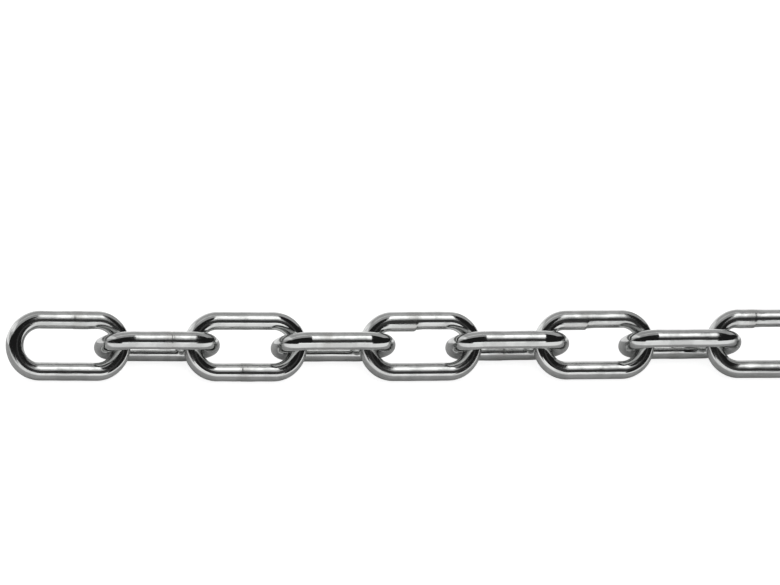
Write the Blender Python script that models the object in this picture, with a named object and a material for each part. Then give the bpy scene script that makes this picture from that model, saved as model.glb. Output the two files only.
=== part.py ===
"""Half a metre of short-link welded chain, laid out straight on a level floor.

Every link is a round wire bent to a long loop with half-round ends. Each one passes
through the end of the link before it. The links lean to the two sides in turn, a little
steeper than midway, so the row has a narrow X-shaped section and rests on the lower side
of every link.

The chain runs along +X with the floor at Z = 0. All sizes are in metres.
"""

import math

import bpy

# Driving dimensions of one link
WIRE_DIAMETER = 0.0035
INSIDE_LENGTH = 0.0182
OUTSIDE_WIDTH = 0.0135

# The row of links
LINK_COUNT = 28
BEARING_GAP = 0.0005
LEAN = math.radians(51.75)

# How far the laid chain strays sideways from a straight line, and over how many links
WANDER = -0.0004
WANDER_LINKS = 11.0

# The polygons that stand for the round wire and for the half-round ends
WIRE_SIDES = 8
END_SEGMENTS = 8

# The wire's polygon is turned so that one of its flats is level on the floor
LEVEL_TILT = math.pi / WIRE_SIDES - LEAN

# Polished plating over the iron wire
PLATING_COLOUR = (0.72, 0.72, 0.71, 1.0)
PLATING_ROUGHNESS = 0.12
PLATING_METALLIC = 1.0

# Sizes that follow from the ones above
WIRE_RADIUS = WIRE_DIAMETER / 2
END_RADIUS = (OUTSIDE_WIDTH - WIRE_DIAMETER) / 2
HALF_LENGTH = (INSIDE_LENGTH + WIRE_DIAMETER) / 2
HALF_STRAIGHT = HALF_LENGTH - END_RADIUS
PITCH = INSIDE_LENGTH - BEARING_GAP
FIRST_CENTRE = -(LINK_COUNT - 1) / 2 * PITCH
AXIS_HEIGHT = END_RADIUS * math.sin(LEAN) + WIRE_RADIUS

# A link hangs on the end wire of the link before it: this is where that wire crosses its own long axis
PIVOT_FROM_CENTRE = HALF_LENGTH - PITCH


def clear_scene():
    """Remove whatever the open file holds."""
    for old in list(bpy.data.objects):
        bpy.data.objects.remove(old, do_unlink=True)


def plating_material():
    """The bright plated surface that all the links have."""
    material = bpy.data.materials.new("polished_plating")
    material.use_nodes = True
    shader = material.node_tree.nodes["Principled BSDF"]
    shader.inputs["Base Color"].default_value = PLATING_COLOUR
    shader.inputs["Roughness"].default_value = PLATING_ROUGHNESS
    shader.inputs["Metallic"].default_value = PLATING_METALLIC
    material.diffuse_color = PLATING_COLOUR
    return material


def loop_points():
    """Corners of the polygon that the wire's centre line follows, round the link's centre.

    Each end starts and stops where a straight side does. Between those it is a polygon
    drawn about the half circle, so its middle segment touches the circle at the link's tip.
    """
    step = math.pi / END_SEGMENTS
    corner_radius = END_RADIUS / math.cos(step / 2)
    points = []
    for end_x, first_angle in ((HALF_STRAIGHT, -math.pi / 2), (-HALF_STRAIGHT, math.pi / 2)):
        side_y = END_RADIUS * math.sin(first_angle)
        points.append((end_x, side_y))
        for index in range(END_SEGMENTS):
            angle = first_angle + (index + 0.5) * step
            points.append((
                end_x + corner_radius * math.cos(angle),
                corner_radius * math.sin(angle),
            ))
        points.append((end_x, -side_y))
    return points


def link_curve(material):
    """The wire loop that every link shares, with its origin where it bears on its neighbour."""
    curve = bpy.data.curves.new("link_wire", "CURVE")
    curve.dimensions = "3D"
    curve.twist_mode = "Z_UP"
    curve.bevel_resolution = WIRE_SIDES // 2 - 2
    curve.bevel_depth = WIRE_RADIUS / math.cos(math.pi / WIRE_SIDES)
    curve.use_fill_caps = True
    points = loop_points()
    spline = curve.splines.new("POLY")
    spline.points.add(len(points) - 1)
    spline.use_cyclic_u = True
    for point, (x, y) in zip(spline.points, points):
        point.co = (x - PIVOT_FROM_CENTRE, y, 0.0, 1.0)
        point.tilt = LEVEL_TILT
    curve.materials.append(material)
    return curve


def wander_at(x):
    """Sideways offset of the laid chain at x, and the heading of the links there."""
    wave_number = 2 * math.pi / (WANDER_LINKS * PITCH)
    phase = wave_number * (x - FIRST_CENTRE)
    return WANDER * math.sin(phase), math.atan(WANDER * wave_number * math.cos(phase))


def place_links(curve, parent, collection):
    """Lay the links in their row, leaning to the two sides in turn."""
    for index in range(LINK_COUNT):
        centre_x = FIRST_CENTRE + index * PITCH
        centre_y, heading = wander_at(centre_x)
        link = bpy.data.objects.new(f"link_{index + 1:02d}", curve)
        link.parent = parent
        link.location = (
            centre_x + PIVOT_FROM_CENTRE * math.cos(heading),
            centre_y + PIVOT_FROM_CENTRE * math.sin(heading),
            0.0,
        )
        link.rotation_euler = (LEAN if index % 2 == 0 else -LEAN, 0.0, heading)
        collection.objects.link(link)


def main():
    clear_scene()
    collection = bpy.data.collections.new("short_link_chain")
    bpy.context.scene.collection.children.link(collection)
    chain_axis = bpy.data.objects.new("chain_axis", None)
    chain_axis.empty_display_size = OUTSIDE_WIDTH
    chain_axis.location = (0.0, 0.0, AXIS_HEIGHT)
    collection.objects.link(chain_axis)
    place_links(link_curve(plating_material()), chain_axis, collection)


main()
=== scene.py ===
"""Dresses half a metre of short-link welded chain: round iron wire, butt-welded and bright plated.

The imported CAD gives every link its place. Each one is replaced by a wire loop with the small
faults of the real thing, such as the upset weld in one side and the wire's slight waviness.
The chain lies straight on a plain white floor, seen from above its front and a little from its
start. Soft panels stand where its wires mirror them.
All sizes are in metres, unless a name ends in _mm.
"""

import logging
import math
from dataclasses import dataclass, field
from enum import Enum

import bpy
import numpy as np
from mathutils import Matrix, Vector


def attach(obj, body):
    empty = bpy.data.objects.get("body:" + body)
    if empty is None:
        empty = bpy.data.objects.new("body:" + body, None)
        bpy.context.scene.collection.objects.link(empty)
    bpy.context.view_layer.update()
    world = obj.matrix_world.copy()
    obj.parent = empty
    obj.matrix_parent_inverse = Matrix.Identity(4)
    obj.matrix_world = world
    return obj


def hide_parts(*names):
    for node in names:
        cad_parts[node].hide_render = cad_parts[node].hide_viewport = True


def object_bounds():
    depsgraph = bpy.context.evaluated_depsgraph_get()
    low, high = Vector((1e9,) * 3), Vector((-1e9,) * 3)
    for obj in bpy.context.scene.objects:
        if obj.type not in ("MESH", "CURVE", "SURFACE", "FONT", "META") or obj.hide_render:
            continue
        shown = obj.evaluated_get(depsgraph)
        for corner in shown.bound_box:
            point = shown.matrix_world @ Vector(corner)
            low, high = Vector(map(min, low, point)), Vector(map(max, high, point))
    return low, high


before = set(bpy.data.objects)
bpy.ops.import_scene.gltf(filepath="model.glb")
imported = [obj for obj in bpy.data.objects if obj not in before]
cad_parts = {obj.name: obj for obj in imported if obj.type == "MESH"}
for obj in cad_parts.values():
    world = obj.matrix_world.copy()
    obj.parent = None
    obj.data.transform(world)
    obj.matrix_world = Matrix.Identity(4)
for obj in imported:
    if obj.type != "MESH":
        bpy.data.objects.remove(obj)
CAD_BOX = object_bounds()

LOG = logging.getLogger("short_link_chain")

MM = 0.001

# From the chain's first tip to the middle of its first link
FIRST_MIDDLE_FROM_TIP = 12.6 * MM

# The photograph's frame, and where the chain lies in it, in pixels
IMAGE_WIDTH = 780
IMAGE_HEIGHT = 585
FIRST_LINK_U = 68.0
CHAIN_AXIS_V = 345.5
PIXELS_PER_METRE = 5175.0
FOCAL_PIXELS = 12000.0
# The sight line: how far it leans along the chain, and how high it stands round the chain's axis
SIGHT_LEAN = math.radians(16.0)
SIGHT_ROUND_AXIS = math.radians(38.25)


# Node and colour helpers


def linear_colour(hex_code: str) -> tuple[float, float, float, float]:
    """Turn an sRGB hex colour into the linear colour that a shader takes.

    Args:
        hex_code: Six hex digits with a leading hash.

    Returns:
        Red, green, blue and an alpha of one.
    """
    channels = [int(hex_code[start:start + 2], 16) / 255 for start in (1, 3, 5)]
    red, green, blue = (
        value / 12.92 if value <= 0.04045 else ((value + 0.055) / 1.055) ** 2.4
        for value in channels
    )
    return red, green, blue, 1.0


def add_node(
    tree: bpy.types.NodeTree,
    kind: str,
    settings: dict[str, object] | None = None,
    inputs: dict[str | int, object] | None = None,
) -> bpy.types.Node:
    """Add one node with its settings, its values and what feeds it.

    Args:
        tree: The node tree that gets the node.
        kind: Blender's name for the node's class.
        settings: The node's own properties by name.
        inputs: A value or another node's output socket for each input, by name or place.

    Returns:
        The new node.
    """
    node = tree.nodes.new(kind)
    for name, value in (settings or {}).items():
        setattr(node, name, value)
    for name, value in (inputs or {}).items():
        if isinstance(value, bpy.types.NodeSocket):
            tree.links.new(value, node.inputs[name])
        else:
            node.inputs[name].default_value = value
    return node


def smooth_rise(values: np.ndarray, start: float, end: float) -> np.ndarray:
    """Ease from 0 at start to 1 at end, flat outside them.

    Args:
        values: Where to read the rise.
        start: Where it leaves 0.
        end: Where it reaches 1.

    Returns:
        The rise at each value.
    """
    share = np.clip((values - start) / (end - start), 0.0, 1.0)
    return share * share * (3.0 - 2.0 * share)


# Finishes


@dataclass(frozen=True)
class BrightPlate:
    """Nickel-chromium plate over tumbled iron wire: a hard mirror with a faint peel and fine draw lines.

    The mirror splits what is round it into crisp light and black bands along the wire. The peel
    makes their edges waver, and the draw lines give the lighter bands a little streak.
    """

    name: str = "nickel_chromium_electroplate_over_drawn_wire"
    light_hex: str = "#D2D3D2"
    dark_hex: str = "#C2C3C2"
    weld_hex: str = "#BDBDBB"
    metallic: float = 1.0
    smooth_roughness: float = 0.07
    worn_roughness: float = 0.17
    weld_roughness: float = 0.24
    # Patches of slightly different tone that barrel plating leaves, and the noise levels that they span
    tone_mm: float = 3.2
    tone_detail: float = 3.0
    tone_breakup: float = 0.55
    tone_start: float = 0.36
    tone_end: float = 0.62
    # The plate's peel
    peel_mm: float = 0.85
    peel_height_mm: float = 0.0035
    peel_detail: float = 2.0
    peel_breakup: float = 0.45
    # Draw lines are finer than this on the real wire: they are drawn as wide as shows in the render
    line_width_mm: float = 0.22
    line_length_mm: float = 7.0
    line_height_mm: float = 0.0016
    line_detail: float = 2.0
    line_breakup: float = 0.5
    # The noise levels between which a line dulls the plate, and by how much
    line_start: float = 0.5
    line_end: float = 0.8
    line_roughness: float = 0.08

    def material(self) -> bpy.types.Material:
        """Build the plate's material from the wire's own coordinates and its weld mask.

        Returns:
            The material.
        """
        made = bpy.data.materials.new(self.name)
        made.use_nodes = True
        tree = made.node_tree
        shader = tree.nodes["Principled BSDF"]
        shader.inputs["Metallic"].default_value = self.metallic

        place = add_node(tree, "ShaderNodeTexCoord").outputs["Object"]
        weld = add_node(tree, "ShaderNodeAttribute", {"attribute_name": "weld_mask"}).outputs["Fac"]
        along = add_node(tree, "ShaderNodeAttribute", {"attribute_name": "wire_way"}).outputs["Vector"]

        tone = self._tone(tree, place)
        plate = add_node(
            tree, "ShaderNodeMix", {"data_type": "RGBA"},
            {0: tone, 6: linear_colour(self.dark_hex), 7: linear_colour(self.light_hex)},
        ).outputs[2]
        colour = add_node(
            tree, "ShaderNodeMix", {"data_type": "RGBA"},
            {0: weld, 6: plate, 7: linear_colour(self.weld_hex)},
        ).outputs[2]
        tree.links.new(colour, shader.inputs["Base Color"])

        lines = self._draw_lines(tree, along)
        tree.links.new(self._roughness(tree, lines, tone, weld), shader.inputs["Roughness"])
        tree.links.new(self._relief(tree, place, lines), shader.inputs["Normal"])
        return made

    def _tone(self, tree: bpy.types.NodeTree, place: bpy.types.NodeSocket) -> bpy.types.NodeSocket:
        """Slow patches of tone that differ from link to link.

        Args:
            tree: The material's node tree.
            place: The coordinates on the link.

        Returns:
            The tone, from 0 to 1.
        """
        noise = add_node(
            tree, "ShaderNodeTexNoise", {},
            {
                "Vector": place,
                "Scale": 1.0 / (self.tone_mm * MM),
                "Detail": self.tone_detail,
                "Roughness": self.tone_breakup,
            },
        )
        return add_node(
            tree, "ShaderNodeMapRange", {"interpolation_type": "SMOOTHSTEP"},
            {"Value": noise.outputs["Fac"], "From Min": self.tone_start, "From Max": self.tone_end},
        ).outputs["Result"]

    def _draw_lines(self, tree: bpy.types.NodeTree, along: bpy.types.NodeSocket) -> bpy.types.NodeSocket:
        """Lines that run with the wire, left by the drawing die.

        Args:
            tree: The material's node tree.
            along: The coordinates across and along the wire.

        Returns:
            The lines' height, from 0 to 1.
        """
        across = 1.0 / (self.line_width_mm * MM)
        with_wire = 1.0 / (self.line_length_mm * MM)
        stretched = add_node(
            tree, "ShaderNodeVectorMath", {"operation": "MULTIPLY"},
            {0: along, 1: (across, across, with_wire)},
        ).outputs["Vector"]
        return add_node(
            tree, "ShaderNodeTexNoise", {},
            {
                "Vector": stretched,
                "Scale": 1.0,
                "Detail": self.line_detail,
                "Roughness": self.line_breakup,
            },
        ).outputs["Fac"]

    def _roughness(
        self,
        tree: bpy.types.NodeTree,
        lines: bpy.types.NodeSocket,
        tone: bpy.types.NodeSocket,
        weld: bpy.types.NodeSocket,
    ) -> bpy.types.NodeSocket:
        """Smooth on the light patches, duller on the dark ones, along draw lines and at the weld.

        Args:
            tree: The material's node tree.
            lines: The draw lines' height.
            tone: The patches of tone.
            weld: How far the weld has dulled the plate.

        Returns:
            The roughness.
        """
        worn = add_node(
            tree, "ShaderNodeMapRange", {},
            {"Value": tone, "To Min": self.worn_roughness, "To Max": self.smooth_roughness},
        ).outputs["Result"]
        lined = add_node(
            tree, "ShaderNodeMapRange", {},
            {
                "Value": lines,
                "From Min": self.line_start,
                "From Max": self.line_end,
                "To Min": 0.0,
                "To Max": self.line_roughness,
            },
        ).outputs["Result"]
        both = add_node(tree, "ShaderNodeMath", {"operation": "ADD"}, {0: worn, 1: lined}).outputs[0]
        return add_node(
            tree, "ShaderNodeMix", {"data_type": "FLOAT"},
            {0: weld, 2: both, 3: self.weld_roughness},
        ).outputs[0]

    def _relief(
        self,
        tree: bpy.types.NodeTree,
        place: bpy.types.NodeSocket,
        lines: bpy.types.NodeSocket,
    ) -> bpy.types.NodeSocket:
        """The peel's soft bumps with the draw lines on top.

        Args:
            tree: The material's node tree.
            place: The coordinates on the link.
            lines: The draw lines' height.

        Returns:
            The normal.
        """
        peel = add_node(
            tree, "ShaderNodeTexNoise", {},
            {
                "Vector": place,
                "Scale": 1.0 / (self.peel_mm * MM),
                "Detail": self.peel_detail,
                "Roughness": self.peel_breakup,
            },
        ).outputs["Fac"]
        peeled = add_node(
            tree, "ShaderNodeBump", {},
            {"Height": peel, "Strength": 1.0, "Distance": self.peel_height_mm * MM},
        ).outputs["Normal"]
        return add_node(
            tree, "ShaderNodeBump", {},
            {"Height": lines, "Strength": 1.0, "Distance": self.line_height_mm * MM, "Normal": peeled},
        ).outputs["Normal"]


@dataclass(frozen=True)
class WhitePaper:
    """Matt white paper over a light table: bright and even to the camera, with a narrow shadow.

    The chain mirrors it without its glow, which keeps the undersides of the wires darker than the
    paper, as the photograph has them.
    """

    name: str = "matt_white_paper_on_light_table"
    # The paper and its glow as the camera sees them, and the paper and its lack of glow elsewhere
    seen_hex: str = "#C4C4C4"
    glow_hex: str = "#EAEAEA"
    mirrored_hex: str = "#DADADA"
    unlit_hex: str = "#000000"
    roughness: float = 0.9

    def material(self) -> bpy.types.Material:
        """Build the paper's material.

        Returns:
            The material.
        """
        made = bpy.data.materials.new(self.name)
        made.use_nodes = True
        tree = made.node_tree
        shader = tree.nodes["Principled BSDF"]
        to_camera = add_node(tree, "ShaderNodeLightPath").outputs["Is Camera Ray"]
        colour = add_node(
            tree, "ShaderNodeMix", {"data_type": "RGBA"},
            {0: to_camera, 6: linear_colour(self.mirrored_hex), 7: linear_colour(self.seen_hex)},
        ).outputs[2]
        tree.links.new(colour, shader.inputs["Base Color"])
        glow = add_node(
            tree, "ShaderNodeMix", {"data_type": "RGBA"},
            {0: to_camera, 6: linear_colour(self.unlit_hex), 7: linear_colour(self.glow_hex)},
        ).outputs[2]
        tree.links.new(glow, shader.inputs["Emission Color"])
        shader.inputs["Emission Strength"].default_value = 1.0
        shader.inputs["Roughness"].default_value = self.roughness
        shader.inputs["Specular IOR Level"].default_value = 0.0
        return made


# The links


class WeldSide(Enum):
    """Which of a link's two straight sides holds its weld."""

    UPPER = 1.0
    LOWER = -1.0


@dataclass(frozen=True)
class Weld:
    """The butt weld in one side: the wire is upset, thick on one hand and stepped on the other.

    place_mm is the step's place along the link from its middle, and thick_towards is the way the
    thick part lies from it, -1 towards the chain's start and 1 towards its end. The radius grows by
    swell_mm all round and by inner_mm more on the loop's inside. length_mm is the length of the
    thick part and seam_mm the depth of the groove at the step.
    """

    side: WeldSide = WeldSide.UPPER
    place_mm: float = 0.0
    thick_towards: float = -1.0
    swell_mm: float = 0.13
    inner_mm: float = 0.12
    length_mm: float = 4.4
    seam_mm: float = 0.006
    # Half the length of the step, and the share of length_mm up to which the thick hand stays full
    step_half_mm: float = 0.35
    full_share: float = 0.45
    # The thin hand's rise next to the thick one's, and the stretch over which it falls
    thin_rise: float = 0.22
    thin_fall_mm: tuple[float, float] = (0.2, 1.9)
    # Half the width of the seam's groove
    seam_half_mm: float = 0.3
    # How far the plate is dulled at most, and the stretches over which that rises and falls
    dull_share: float = 0.8
    dull_rise_mm: tuple[float, float] = (-1.3, 0.2)
    dull_fall_mm: tuple[float, float] = (0.6, 2.6)

    def profile(self, x_mm: np.ndarray) -> np.ndarray:
        """How far the upset has risen, from 0 to 1.

        Args:
            x_mm: Places along the link from its middle.

        Returns:
            The rise at each place.
        """
        away = (x_mm - self.place_mm) * self.thick_towards
        step = smooth_rise(away, -self.step_half_mm, self.step_half_mm)
        fall = smooth_rise(away, self.full_share * self.length_mm, self.length_mm)
        thin = self.thin_rise * (1.0 - smooth_rise(-away, *self.thin_fall_mm)) * (away <= 0.0)
        return np.maximum(step * (1.0 - fall), thin)

    def seam(self, x_mm: np.ndarray) -> np.ndarray:
        """The narrow groove where the wire's two ends meet, from 0 to 1."""
        return np.exp(-(((x_mm - self.place_mm) / self.seam_half_mm) ** 2))

    def mask(self, x_mm: np.ndarray) -> np.ndarray:
        """How far the weld has dulled the plate.

        Args:
            x_mm: Places along the link from its middle.

        Returns:
            The dulling at each place, from 0 to 1.
        """
        away = (x_mm - self.place_mm) * self.thick_towards
        rise = smooth_rise(away, *self.dull_rise_mm)
        return self.dull_share * rise * (1.0 - smooth_rise(away, *self.dull_fall_mm))


@dataclass
class WireLoop:
    """The centre line of a link: two straight sides joined by half circles, in the link's own plane."""

    half_straight: float
    end_radius: float
    # The share of the end's radius over which the bend sets in
    bend_ease: float = 0.5

    @property
    def length(self) -> float:
        """The way once round the loop."""
        return 4.0 * self.half_straight + 2.0 * math.pi * self.end_radius

    def points(self, way: np.ndarray) -> tuple[np.ndarray, np.ndarray]:
        """Find the centre line and the direction away from the loop's inside.

        Args:
            way: Distances round the loop from the middle of the upper side, towards +X first.

        Returns:
            Points and outward directions, one row for each distance.
        """
        straight = self.half_straight
        radius = self.end_radius
        quarter = straight + math.pi * radius
        first = np.clip((way - straight) / radius, 0.0, math.pi)
        second = np.clip((way - quarter - 2.0 * straight) / radius, 0.0, math.pi)
        angle = math.pi / 2.0 - first - second
        outward = np.stack([np.cos(angle), np.sin(angle)], 1)
        shift = np.select(
            [
                way < straight,
                way < quarter,
                way < quarter + 2.0 * straight,
                way < 2.0 * quarter + straight,
            ],
            [way, straight, straight - (way - quarter), -straight],
            default=way - self.length,
        )
        centre = outward * radius
        centre[:, 0] += shift
        return centre, outward

    def way_at(self, side: WeldSide, x: float) -> float:
        """Find a place on one of the straight sides.

        Args:
            side: Which straight side it is on.
            x: Its place along the link from the middle.

        Returns:
            Its distance round the loop.
        """
        if side is WeldSide.UPPER:
            return x % self.length
        return self.length / 2.0 - x

    def bent(self, way: np.ndarray) -> np.ndarray:
        """How far the wire is bent.

        Args:
            way: Distances round the loop.

        Returns:
            0 on the straight sides and 1 round the ends.
        """
        centre, _ = self.points(way)
        full_bend = self.half_straight + self.bend_ease * self.end_radius
        return smooth_rise(np.abs(centre[:, 0]), self.half_straight, full_bend)


@dataclass
class Link:
    """One link of the chain, which replaces its CAD node and rides on its own body."""

    number: int
    weld: Weld
    wire_radius: float = 1.75 * MM
    end_radius: float = 5.0 * MM
    half_straight: float = 5.65 * MM
    # How many sections stand round the loop and how many more at the weld, within what reach of it
    stations: int = 204
    weld_stations: int = 44
    weld_reach: float = 2.6 * MM
    # An even station nearer than this to one of the weld's is left out
    station_gap: float = 0.04 * MM
    sides: int = 48
    # How far the wire strays from a true round, in how many waves, and the ranges that their turns
    # round the loop and round the wire are drawn from, with the upper ends left out
    waviness: float = 0.009 * MM
    waves: int = 12
    wave_cycles: tuple[int, int] = (3, 17)
    wave_orders: tuple[int, int] = (0, 3)
    wave_seed: int = 4100
    # How much the bends flatten the wire, and how narrowly the weld's inner swell is gathered
    flattening: float = 0.012
    inner_focus: float = 1.5

    @property
    def node(self) -> str:
        """The name of the link's CAD node and of its body."""
        return f"link_{self.number:02d}"

    def build(self, finish: bpy.types.Material) -> bpy.types.Object:
        """Make the link, dress it and put it where its CAD node is.

        Args:
            finish: The material of the whole link.

        Returns:
            The link's object, riding on its body.
        """
        mesh = self._mesh()
        mesh.transform(self._place())
        mesh.materials.append(finish)
        made = bpy.data.objects.new(f"plated_{self.node}", mesh)
        bpy.context.scene.collection.objects.link(made)
        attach(made, self.node)
        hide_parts(self.node)
        return made

    def _place(self) -> Matrix:
        """Read the link's own axes and middle from its CAD node.

        Returns:
            The link's place, with X along it, Y across it and Z out of its plane.
        """
        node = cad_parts[self.node]
        corners = np.unique(np.round([tuple(vertex.co) for vertex in node.data.vertices], 7), axis=0)
        _, _, axes = np.linalg.svd(corners - corners.mean(0), full_matrices=False)
        along = axes[0] * np.sign(axes[0][0])
        across = axes[1] * np.sign(axes[1][2])
        out = np.cross(along, across)
        turned = corners @ np.stack([along, across, out], 1)
        middle = (turned.min(0) + turned.max(0)) / 2.0
        place = np.eye(4)
        place[:3, :3] = np.stack([along, across, out], 1)
        place[:3, 3] = place[:3, :3] @ middle
        return Matrix(place.tolist())

    def _mesh(self) -> bpy.types.Mesh:
        """Sweep the wire's section round the loop.

        Returns:
            The link's mesh, in the link's own axes.
        """
        loop = WireLoop(self.half_straight, self.end_radius)
        way = self._stations(loop)
        centre, outward = loop.points(way)
        turn = np.arange(self.sides) * 2.0 * math.pi / self.sides
        radius = self._radius(loop, way, centre[:, 0], turn)
        ring_count = len(way)
        across = radius * np.cos(turn)[None, :]
        out = radius * np.sin(turn)[None, :]
        points = np.empty((ring_count, self.sides, 3))
        points[:, :, :2] = centre[:, None, :] + across[:, :, None] * outward[:, None, :]
        points[:, :, 2] = out
        mesh = bpy.data.meshes.new(f"plated_{self.node}")
        mesh.from_pydata(points.reshape(-1, 3).tolist(), [], self._faces(ring_count))
        mesh.polygons.foreach_set("use_smooth", np.ones(len(mesh.polygons), bool))
        self._write_attributes(mesh, loop, way, centre[:, 0], turn)
        mesh.update()
        return mesh

    def _stations(self, loop: WireLoop) -> np.ndarray:
        """Space the sections evenly round the loop, with more of them at the weld.

        Args:
            loop: The centre line.

        Returns:
            Their distances round the loop, in order.
        """
        even = np.arange(self.stations) * loop.length / self.stations
        middle = loop.way_at(self.weld.side, self.weld.place_mm * MM)
        near = middle + np.linspace(-self.weld_reach, self.weld_reach, self.weld_stations)
        half = loop.length / 2.0
        gap = np.abs((even[:, None] - near[None, :] + half) % loop.length - half)
        kept = even[gap.min(1) > self.station_gap]
        return np.sort(np.concatenate([kept, near % loop.length]))

    def _radius(
        self, loop: WireLoop, way: np.ndarray, x: np.ndarray, turn: np.ndarray
    ) -> np.ndarray:
        """The wire's radius at each station and turn, with its faults.

        Args:
            loop: The centre line.
            way: Distances of the stations round the loop.
            x: Places of the stations along the link.
            turn: Angles round the wire, from the loop's outside.

        Returns:
            Radii, one row for each station.
        """
        luck = np.random.default_rng(self.wave_seed + self.number)
        radius = np.full((len(way), len(turn)), self.wire_radius)
        round_loop = 2.0 * math.pi * way / loop.length
        for _ in range(self.waves):
            cycles = luck.integers(*self.wave_cycles)
            order = luck.integers(*self.wave_orders)
            # The longest waves stand full height and the shorter ones less
            fade = 2.0 * self.wave_cycles[0] / (cycles + self.wave_cycles[0])
            height = self.waviness * luck.normal() * fade
            first = luck.uniform(0.0, 2.0 * math.pi)
            second = luck.uniform(0.0, 2.0 * math.pi)
            round_the_loop = np.cos(cycles * round_loop + first)[:, None]
            round_the_wire = np.cos(order * turn + second)[None, :]
            radius += height * round_the_loop * round_the_wire
        inner_outer = np.cos(turn)[None, :] ** 2
        radius *= 1.0 - self.flattening * loop.bent(way)[:, None] * inner_outer
        on_side = self._on_weld_side(loop, way)
        rise = (self.weld.profile(x / MM) * on_side)[:, None]
        inner = np.clip(-np.cos(turn), 0.0, 1.0)[None, :] ** self.inner_focus
        radius += rise * (self.weld.swell_mm + self.weld.inner_mm * inner) * MM
        radius -= (self.weld.seam(x / MM) * on_side)[:, None] * self.weld.seam_mm * MM
        return radius

    def _on_weld_side(self, loop: WireLoop, way: np.ndarray) -> np.ndarray:
        """Tell which stations are on the weld's side of the link.

        Args:
            loop: The centre line.
            way: Distances of the stations round the loop.

        Returns:
            1 for a station on the weld's side and 0 for the others.
        """
        half = loop.length / 2.0
        middle = loop.way_at(self.weld.side, 0.0)
        away = np.abs((way - middle + half) % loop.length - half)
        return (away < half / 2.0).astype(float)

    def _faces(self, ring_count: int) -> list[tuple[int, int, int, int]]:
        """Join each section to the next one, and the last to the first.

        Args:
            ring_count: How many sections there are.

        Returns:
            The corners of each face.
        """
        ring, side = np.meshgrid(np.arange(ring_count), np.arange(self.sides), indexing="ij")
        next_ring = (ring + 1) % ring_count
        next_side = (side + 1) % self.sides
        corners = [
            ring * self.sides + side,
            ring * self.sides + next_side,
            next_ring * self.sides + next_side,
            next_ring * self.sides + side,
        ]
        return np.stack([corner.ravel() for corner in corners], 1).tolist()

    def _write_attributes(
        self, mesh: bpy.types.Mesh, loop: WireLoop, way: np.ndarray, x: np.ndarray, turn: np.ndarray
    ) -> None:
        """Write what the plate's material reads: the way round and along the wire, and the weld.

        Args:
            mesh: The link's mesh, which gets them.
            loop: The centre line.
            way: Distances of the stations round the loop.
            x: Places of the stations along the link.
            turn: Angles round the wire.
        """
        shape = (len(way), len(turn))
        flow = np.empty(shape + (3,), np.float32)
        flow[:, :, 0] = self.wire_radius * np.cos(turn)[None, :]
        flow[:, :, 1] = self.wire_radius * np.sin(turn)[None, :]
        flow[:, :, 2] = np.abs(way - loop.length / 2.0)[:, None] + self.number * loop.length
        dulled = self.weld.mask(x / MM) * self._on_weld_side(loop, way)
        mask = np.broadcast_to(dulled[:, None], shape).astype(np.float32)
        wire_way = mesh.attributes.new("wire_way", "FLOAT_VECTOR", "POINT")
        wire_way.data.foreach_set("vector", flow.ravel())
        weld_mask = mesh.attributes.new("weld_mask", "FLOAT", "POINT")
        weld_mask.data.foreach_set("value", mask.ravel())


@dataclass
class ChainRun:
    """The whole straight run of links."""

    finish: BrightPlate = field(default_factory=BrightPlate)
    # The welds of the links in the picture: those of 5 and 7 follow the photograph, the others roughly.
    # Each has its side, the step's place, the thick hand, the swell, the inner swell, length and seam
    seen_welds: dict[int, Weld] = field(default_factory=lambda: {
        1: Weld(WeldSide.UPPER, 0.9, 1.0, 0.02, 0.05, 4.4, 0.0),
        2: Weld(WeldSide.UPPER, 1.6, -1.0, 0.03, 0.03, 3.0, 0.022),
        3: Weld(WeldSide.LOWER, -1.0, 1.0, 0.04, 0.03, 3.6, 0.004),
        4: Weld(WeldSide.UPPER, -2.4, -1.0, 0.01, 0.05, 4.4, 0.002),
        5: Weld(WeldSide.UPPER, -1.0, -1.0, 0.005, 0.38, 9.0, 0.002),
        6: Weld(WeldSide.LOWER, 0.4, -1.0, 0.05, 0.12, 5.0, 0.006),
        7: Weld(WeldSide.UPPER, -1.6, -1.0, 0.005, 0.36, 8.5, 0.002),
        8: Weld(WeldSide.LOWER, -0.6, 1.0, 0.05, 0.12, 5.0, 0.006),
        9: Weld(WeldSide.UPPER, -2.4, -1.0, 0.02, 0.22, 6.0, 0.003),
    })
    # The draws for the other links: the share welded above, the place's middle and spread, and ranges
    weld_seed: int = 900
    upper_share: float = 0.7
    place_draw_mm: tuple[float, float] = (-0.4, 1.1)
    swell_range_mm: tuple[float, float] = (0.05, 0.14)
    inner_range_mm: tuple[float, float] = (0.02, 0.18)
    length_range_mm: tuple[float, float] = (3.2, 5.0)
    seam_range_mm: tuple[float, float] = (0.003, 0.012)

    def weld_of(self, number: int) -> Weld:
        """Take the weld set for a link in the picture, or draw one like those.

        Args:
            number: The link's number along the run.

        Returns:
            The link's weld.
        """
        if number in self.seen_welds:
            return self.seen_welds[number]
        luck = np.random.default_rng(self.weld_seed + number)
        return Weld(
            side=WeldSide.UPPER if luck.random() < self.upper_share else WeldSide.LOWER,
            place_mm=float(luck.normal(*self.place_draw_mm)),
            thick_towards=float(luck.choice([-1.0, 1.0])),
            swell_mm=float(luck.uniform(*self.swell_range_mm)),
            inner_mm=float(luck.uniform(*self.inner_range_mm)),
            length_mm=float(luck.uniform(*self.length_range_mm)),
            seam_mm=float(luck.uniform(*self.seam_range_mm)),
        )

    def build(self) -> list[bpy.types.Object]:
        """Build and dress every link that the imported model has.

        Returns:
            The links' objects, in order.
        """
        plate = self.finish.material()
        made = []
        for number in range(1, len(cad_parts) + 1):
            made.append(Link(number, self.weld_of(number)).build(plate))
        return made


# The studio


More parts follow.
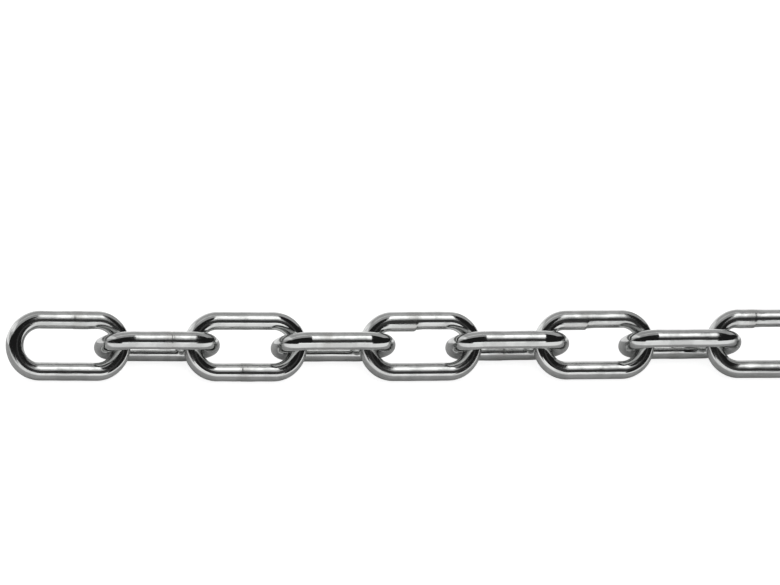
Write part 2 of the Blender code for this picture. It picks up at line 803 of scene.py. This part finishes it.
# The height about the chain's middle that panels are aimed at, and that of those laid over the paper
FACED_HEIGHT = 0.0056
BOUNCE_HEIGHT = 0.0006


@dataclass(frozen=True)
class Panel:
    """A soft light panel that the chain mirrors, unseen by the camera and no light to the paper."""

    name: str
    centre: tuple[float, float, float]
    aim: tuple[float, float, float]
    width: float
    height: float
    radiance: float

    def hang(self) -> bpy.types.Object:
        """Hang the panel, with its width level and its face towards its aim.

        Returns:
            The panel's object.
        """
        lamp = bpy.data.lights.new(self.name, "AREA")
        lamp.shape = "RECTANGLE"
        lamp.size = self.width
        lamp.size_y = self.height
        # An area lamp's power is its radiance over its face and over the half sphere in front of it
        lamp.energy = self.radiance * math.pi * self.width * self.height
        lamp.use_shadow = False
        made = bpy.data.objects.new(self.name, lamp)
        bpy.context.scene.collection.objects.link(made)
        made.location = self.centre
        way = Vector(self.aim) - Vector(self.centre)
        made.rotation_euler = way.to_track_quat("-Z", "Y").to_euler()
        made.visible_camera = False
        made.visible_diffuse = False
        return made


@dataclass
class Studio:
    """Plain white paper with soft panels round it, in a room that the chain mirrors as dark."""

    paper: WhitePaper = field(default_factory=WhitePaper)
    paper_size: float = 24.0
    # What the camera sees past the paper, what the chain mirrors between the panels, and the even fill
    surround_radiance: float = 1.0
    dark_room_radiance: float = 0.015
    fill_radiance: float = 0.65
    room_hex: str = "#FFFFFF"
    # Each has its name, centre, aim, width, height and radiance
    panels: tuple[Panel, ...] = (
        Panel("key_strip", (0.52, -0.26, 2.49), (0.52, 0.0, FACED_HEIGHT), 0.62, 1.62, 1.10),
        Panel("key_edge", (0.52, -0.75, 2.39), (0.52, 0.0, FACED_HEIGHT), 0.62, 2.07, 0.55),
        Panel("left_ceiling", (-1.25, 0.36, 1.60), (-1.25, 0.36, 0.0), 3.40, 1.05, 0.40),
        Panel("back_ceiling", (-0.17, 1.53, 1.29), (-0.17, 0.0, FACED_HEIGHT), 6.90, 2.10, 0.45),
        Panel("back_low", (-0.75, 2.20, 0.30), (-0.75, 0.0, 0.30), 3.40, 0.58, 0.8),
        Panel("back_bounce", (-0.60, 0.762, BOUNCE_HEIGHT), (-0.60, 0.762, 1.0), 3.00, 1.50, 0.6),
        Panel("left_wall", (-1.50, 1.05, 0.60), (-0.17, 1.05, 0.60), 1.90, 1.20, 0.5),
        Panel("front_strip", (-0.30, -1.390, 0.170), (-0.30, 0.0, FACED_HEIGHT), 1.40, 0.33, 1.2),
        Panel("front_bounce", (-0.25, -0.700, BOUNCE_HEIGHT), (-0.25, -0.700, 1.0), 1.50, 1.378, 0.58),
        Panel("front_gap", (0.387, -1.64, 1.15), (0.387, 0.0, FACED_HEIGHT), 0.50, 2.04, 0.04),
    )

    def build(self) -> None:
        """Lay the paper, light it and set how the picture is developed."""
        self._lay_paper()
        for panel in self.panels:
            panel.hang()
        self._light_room()
        bpy.context.scene.view_settings.view_transform = "Standard"

    def _lay_paper(self) -> None:
        """Lay a sheet that runs past the picture on every side."""
        half = self.paper_size / 2.0
        corners = [(-half, -half, 0.0), (half, -half, 0.0), (half, half, 0.0), (-half, half, 0.0)]
        mesh = bpy.data.meshes.new("studio_paper")
        mesh.from_pydata(corners, [], [(0, 1, 2, 3)])
        mesh.materials.append(self.paper.material())
        sheet = bpy.data.objects.new("studio_paper", mesh)
        bpy.context.scene.collection.objects.link(sheet)

    def _light_room(self) -> None:
        """Make the room white behind the paper, dark in the chain's mirrors and even in its fill."""
        world = bpy.data.worlds.new("studio_room")
        world.use_nodes = True
        bpy.context.scene.world = world
        tree = world.node_tree
        tree.nodes.clear()
        path = add_node(tree, "ShaderNodeLightPath")
        colour = linear_colour(self.room_hex)
        white, dark, fill = (
            add_node(tree, "ShaderNodeBackground", {}, {"Color": colour, "Strength": strength}).outputs[0]
            for strength in (self.surround_radiance, self.dark_room_radiance, self.fill_radiance)
        )
        unseen = add_node(
            tree, "ShaderNodeMixShader", {}, {0: path.outputs["Is Glossy Ray"], 1: fill, 2: dark}
        ).outputs[0]
        seen = add_node(
            tree, "ShaderNodeMixShader", {}, {0: path.outputs["Is Camera Ray"], 1: unseen, 2: white}
        ).outputs[0]
        add_node(tree, "ShaderNodeOutputWorld", {}, {"Surface": seen})
        world.cycles.sampling_method = "NONE"


@dataclass
class PictureCamera:
    """A long lens at the photograph's angle, level with the chain's run across the picture."""

    axis_height: float
    first_middle: float
    sensor_mm: float = 36.0
    nearest: float = 0.1
    furthest: float = 100.0

    def place(self) -> bpy.types.Object:
        """Put the camera where the first link falls on the photograph's place for it.

        Returns:
            The camera's object.
        """
        data = bpy.data.cameras.new("picture_camera")
        data.sensor_width = self.sensor_mm
        data.lens = FOCAL_PIXELS / IMAGE_WIDTH * self.sensor_mm
        data.clip_start = self.nearest
        data.clip_end = self.furthest
        made = bpy.data.objects.new("picture_camera", data)
        bpy.context.scene.collection.objects.link(made)
        sight = Vector((
            -math.sin(SIGHT_LEAN),
            -math.cos(SIGHT_LEAN) * math.cos(SIGHT_ROUND_AXIS),
            math.cos(SIGHT_LEAN) * math.sin(SIGHT_ROUND_AXIS),
        ))
        right = (Vector((1.0, 0.0, 0.0)) - sight * sight.x).normalized()
        up = sight.cross(right)
        turned = Matrix((right, up, sight)).transposed()
        first_link = Vector((self.first_middle, 0.0, self.axis_height))
        across = (IMAGE_WIDTH / 2.0 - FIRST_LINK_U) / PIXELS_PER_METRE
        above = (CHAIN_AXIS_V - IMAGE_HEIGHT / 2.0) / PIXELS_PER_METRE
        reach = FOCAL_PIXELS / PIXELS_PER_METRE
        made.location = first_link + turned @ Vector((across, above, reach))
        made.rotation_euler = turned.to_euler()
        bpy.context.scene.camera = made
        return made


def main() -> None:
    """Build the chain, the studio and the camera."""
    logging.basicConfig(level=logging.INFO, format="%(message)s")
    links = ChainRun().build()
    for link in links:
        LOG.info("%s: %d faces", link.name, len(link.data.polygons))
    LOG.info("chain: %d links", len(links))
    Studio().build()
    LOG.info("studio: paper, room and panels")
    low, high = CAD_BOX
    PictureCamera(axis_height=high.z / 2.0, first_middle=low.x + FIRST_MIDDLE_FROM_TIP).place()
    LOG.info("camera: placed")


if __name__ == "__main__":
    main()
